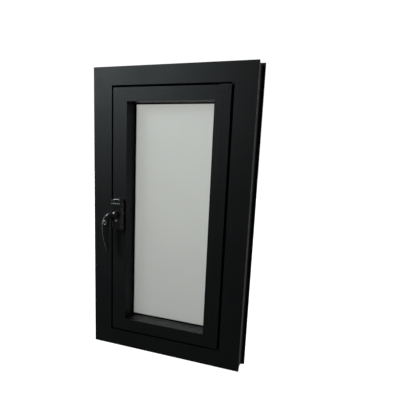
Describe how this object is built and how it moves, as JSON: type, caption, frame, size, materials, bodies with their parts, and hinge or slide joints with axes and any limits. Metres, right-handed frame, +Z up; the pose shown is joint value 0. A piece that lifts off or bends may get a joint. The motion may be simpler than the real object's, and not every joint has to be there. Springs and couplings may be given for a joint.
{
  "type": "casement window",
  "caption": "Inward-opening side-hung aluminium casement window: thermally broken frame and sash, frosted glazing, cranked locking handle driving an espagnolette lock.",
  "frame": {"origin": "middle of the underside of the sill's outside flange, where the window stands in its wall opening", "axes": "+X to the right seen from the room, +Y outwards through the wall, +Z up"},
  "size_m": [0.52, 0.1245, 0.908],
  "materials": {
    "frame_coat": "satin black powder coat",
    "sash_coat": "satin black powder coat",
    "bead_coat": "satin black powder coat",
    "hinge_coat": "black passivated and coated",
    "polyamide": "glass-filled polyamide, dusty",
    "block_plastic": "moulded",
    "cover_plastic": "moulded",
    "mill_aluminium": "mill finish",
    "frosted_glass": "acid-etched, grey-green",
    "seal_rubber": "EPDM",
    "handle_gloss": "gloss black",
    "lock_chrome": "polished",
    "zinc_steel": "zinc plated"
  },
  "bodies": {
    "frame": {"frame_sill": "frame_coat", "frame_head": "frame_coat", "frame_jamb_lock_side": "frame_coat", "frame_jamb_hinge_side": "frame_coat", "frame_outer_sill": "frame_coat", "frame_outer_head": "frame_coat", "frame_outer_jamb_lock_side": "frame_coat", "frame_outer_jamb_hinge_side": "frame_coat", "frame_thermal_breaks": "polyamide", "frame_corner_cleats": "mill_aluminium", "frame_stop_seal": "seal_rubber", "hinge_frame_brackets": "hinge_coat", "hinge_pins": "hinge_coat", "hinge_frame_screws": "hinge_coat", "keeps": "hinge_coat", "keep_screws": "hinge_coat", "drain_covers": "cover_plastic"},
    "sash": {"sash_bottom_rail": "sash_coat", "sash_top_rail": "sash_coat", "sash_lock_stile": "sash_coat", "sash_hinge_stile": "sash_coat", "sash_outer_bottom_rail": "sash_coat", "sash_outer_top_rail": "sash_coat", "sash_outer_lock_stile": "sash_coat", "sash_outer_hinge_stile": "sash_coat", "sash_thermal_breaks": "polyamide", "sash_corner_cleats": "mill_aluminium", "glass_pane": "frosted_glass", "glass_inner_gasket": "seal_rubber", "glass_outer_gasket": "seal_rubber", "setting_blocks": "block_plastic", "bead_lock_side": "bead_coat", "bead_hinge_side": "bead_coat", "bead_top": "bead_coat", "bead_bottom": "bead_coat", "hinge_sash_plates": "hinge_coat", "hinge_sash_screws": "hinge_coat", "handle_base_plate": "zinc_steel", "handle_cover": "handle_gloss", "handle_screws": "zinc_steel", "gearbox_case": "zinc_steel", "rod_guides": "block_plastic"},
    "handle": {"handle_lever": "handle_gloss", "handle_spindle": "zinc_steel", "handle_lock_ring": "lock_chrome", "drive_gear": "zinc_steel"},
    "lock_barrel": {"handle_lock_barrel": "lock_chrome"},
    "drive": {"drive_rack": "zinc_steel", "drive_rods": "zinc_steel", "drive_cams": "zinc_steel"}
  },
  "joints": [
    {"name": "sash_swing", "type": "hinge", "parent": "frame", "child": "sash", "pos_m": [0.1885, -0.0635, 0.454], "axis": [0, 0, 1], "range_deg": [0, 90]},
    {"name": "handle_turn", "type": "hinge", "parent": "sash", "child": "handle", "pos_m": [-0.161, -0.0925, 0.459], "axis": [0, -1, 0], "range_deg": [0, 90]},
    {"name": "lock_turn", "type": "hinge", "parent": "handle", "child": "lock_barrel", "pos_m": [-0.188, -0.1135, 0.434], "axis": [0, -1, 0], "range_deg": [0, 90]},
    {"name": "drive_slide", "type": "slide", "parent": "sash", "child": "drive", "axis": [0, 0, -1], "range_m": [0, 0.0165]}
  ],
  "couplings": [
    {"joint": "drive_slide", "follows": "handle_turn", "m_per_rad": 0.0105}
  ]
}
